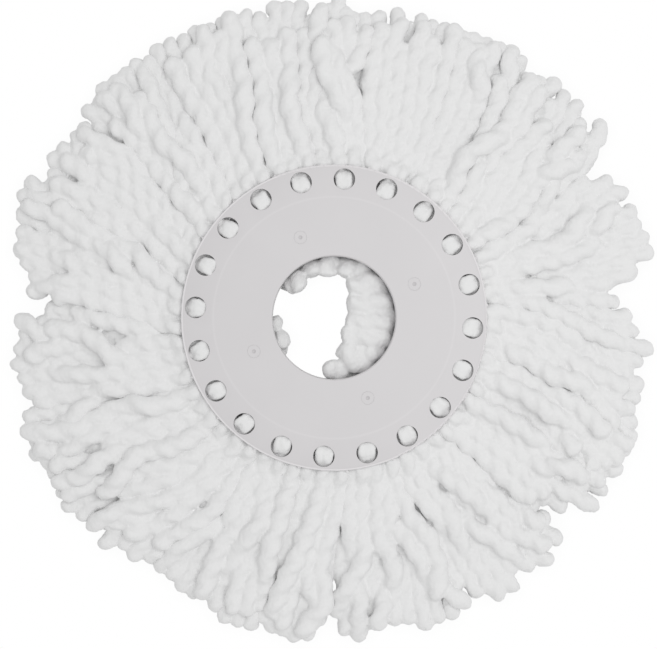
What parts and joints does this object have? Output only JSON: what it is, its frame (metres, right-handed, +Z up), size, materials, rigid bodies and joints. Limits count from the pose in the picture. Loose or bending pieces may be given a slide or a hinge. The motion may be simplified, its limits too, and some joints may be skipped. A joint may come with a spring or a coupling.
{
  "type": "spin mop head",
  "caption": "Round spin mop head: a moulded plate with a centre hole for the handle's hub grips a ring of folded yarn bundles whose tails fan out, hang or lift.",
  "frame": {"origin": "on the floor that the yarn lies on, on the axis of the hub hole", "axes": "+Z up along the hub hole's axis, towards the handle; the four melted pegs lie on X and Y; the bare well under the hub hole lies towards -X"},
  "size_m": [0.3406, 0.3406, 0.0239],
  "materials": {
    "plate_plastic": "satin moulded off-white",
    "ring_plastic": "satin moulded off-white",
    "yarn": "fluffy twisted microfibre"
  },
  "bodies": {
    "plate": {"top_plate": "plate_plastic", "clamp_ring": "ring_plastic", "tucked_yarn": "yarn", "bundle_fold_01": "yarn", "bundle_fold_02": "yarn", "bundle_fold_03": "yarn", "bundle_fold_04": "yarn", "bundle_fold_05": "yarn", "bundle_fold_06": "yarn", "bundle_fold_07": "yarn", "bundle_fold_08": "yarn", "bundle_fold_09": "yarn", "bundle_fold_10": "yarn", "bundle_fold_11": "yarn", "bundle_fold_12": "yarn", "bundle_fold_13": "yarn", "bundle_fold_14": "yarn", "bundle_fold_15": "yarn", "bundle_fold_16": "yarn", "bundle_fold_17": "yarn", "bundle_fold_18": "yarn", "bundle_fold_19": "yarn", "bundle_fold_20": "yarn"},
    "tail_01": {"bundle_tail_01": "yarn"},
    "tail_02": {"bundle_tail_02": "yarn"},
    "tail_03": {"bundle_tail_03": "yarn"},
    "tail_04": {"bundle_tail_04": "yarn"},
    "tail_05": {"bundle_tail_05": "yarn"},
    "tail_06": {"bundle_tail_06": "yarn"},
    "tail_07": {"bundle_tail_07": "yarn"},
    "tail_08": {"bundle_tail_08": "yarn"},
    "tail_09": {"bundle_tail_09": "yarn"},
    "tail_10": {"bundle_tail_10": "yarn"},
    "tail_11": {"bundle_tail_11": "yarn"},
    "tail_12": {"bundle_tail_12": "yarn"},
    "tail_13": {"bundle_tail_13": "yarn"},
    "tail_14": {"bundle_tail_14": "yarn"},
    "tail_15": {"bundle_tail_15": "yarn"},
    "tail_16": {"bundle_tail_16": "yarn"},
    "tail_17": {"bundle_tail_17": "yarn"},
    "tail_18": {"bundle_tail_18": "yarn"},
    "tail_19": {"bundle_tail_19": "yarn"},
    "tail_20": {"bundle_tail_20": "yarn"}
  },
  "joints": [
    {"name": "tail_swing_01", "type": "hinge", "parent": "plate", "child": "tail_01", "pos_m": [0.08692, 0.01377, 0.012], "axis": [0.1564, -0.9877, 0], "range_deg": [-70, 80]},
    {"name": "tail_swing_02", "type": "hinge", "parent": "plate", "child": "tail_02", "pos_m": [0.07841, 0.03995, 0.012], "axis": [0.454, -0.891, 0], "range_deg": [-70, 80]},
    {"name": "tail_swing_03", "type": "hinge", "parent": "plate", "child": "tail_03", "pos_m": [0.06223, 0.06223, 0.012], "axis": [0.7071, -0.7071, 0], "range_deg": [-70, 80]},
    {"name": "tail_swing_04", "type": "hinge", "parent": "plate", "child": "tail_04", "pos_m": [0.03995, 0.07841, 0.012], "axis": [0.891, -0.454, 0], "range_deg": [-70, 80]},
    {"name": "tail_swing_05", "type": "hinge", "parent": "plate", "child": "tail_05", "pos_m": [0.01377, 0.08692, 0.012], "axis": [0.9877, -0.1564, 0], "range_deg": [-70, 80]},
    {"name": "tail_swing_06", "type": "hinge", "parent": "plate", "child": "tail_06", "pos_m": [-0.01377, 0.08692, 0.012], "axis": [0.9877, 0.1564, 0], "range_deg": [-70, 80]},
    {"name": "tail_swing_07", "type": "hinge", "parent": "plate", "child": "tail_07", "pos_m": [-0.03995, 0.07841, 0.012], "axis": [0.891, 0.454, 0], "range_deg": [-70, 80]},
    {"name": "tail_swing_08", "type": "hinge", "parent": "plate", "child": "tail_08", "pos_m": [-0.06223, 0.06223, 0.012], "axis": [0.7071, 0.7071, 0], "range_deg": [-70, 80]},
    {"name": "tail_swing_09", "type": "hinge", "parent": "plate", "child": "tail_09", "pos_m": [-0.07841, 0.03995, 0.012], "axis": [0.454, 0.891, 0], "range_deg": [-70, 80]},
    {"name": "tail_swing_10", "type": "hinge", "parent": "plate", "child": "tail_10", "pos_m": [-0.08692, 0.01377, 0.012], "axis": [0.1564, 0.9877, 0], "range_deg": [-70, 80]},
    {"name": "tail_swing_11", "type": "hinge", "parent": "plate", "child": "tail_11", "pos_m": [-0.08692, -0.01377, 0.012], "axis": [-0.1564, 0.9877, 0], "range_deg": [-70, 80]},
    {"name": "tail_swing_12", "type": "hinge", "parent": "plate", "child": "tail_12", "pos_m": [-0.07841, -0.03995, 0.012], "axis": [-0.454, 0.891, 0], "range_deg": [-70, 80]},
    {"name": "tail_swing_13", "type": "hinge", "parent": "plate", "child": "tail_13", "pos_m": [-0.06223, -0.06223, 0.012], "axis": [-0.7071, 0.7071, 0], "range_deg": [-70, 80]},
    {"name": "tail_swing_14", "type": "hinge", "parent": "plate", "child": "tail_14", "pos_m": [-0.03995, -0.07841, 0.012], "axis": [-0.891, 0.454, 0], "range_deg": [-70, 80]},
    {"name": "tail_swing_15", "type": "hinge", "parent": "plate", "child": "tail_15", "pos_m": [-0.01377, -0.08692, 0.012], "axis": [-0.9877, 0.1564, 0], "range_deg": [-70, 80]},
    {"name": "tail_swing_16", "type": "hinge", "parent": "plate", "child": "tail_16", "pos_m": [0.01377, -0.08692, 0.012], "axis": [-0.9877, -0.1564, 0], "range_deg": [-70, 80]},
    {"name": "tail_swing_17", "type": "hinge", "parent": "plate", "child": "tail_17", "pos_m": [0.03995, -0.07841, 0.012], "axis": [-0.891, -0.454, 0], "range_deg": [-70, 80]},
    {"name": "tail_swing_18", "type": "hinge", "parent": "plate", "child": "tail_18", "pos_m": [0.06223, -0.06223, 0.012], "axis": [-0.7071, -0.7071, 0], "range_deg": [-70, 80]},
    {"name": "tail_swing_19", "type": "hinge", "parent": "plate", "child": "tail_19", "pos_m": [0.07841, -0.03995, 0.012], "axis": [-0.454, -0.891, 0], "range_deg": [-70, 80]},
    {"name": "tail_swing_20", "type": "hinge", "parent": "plate", "child": "tail_20", "pos_m": [0.08692, -0.01377, 0.012], "axis": [-0.1564, -0.9877, 0], "range_deg": [-70, 80]}
  ]
}
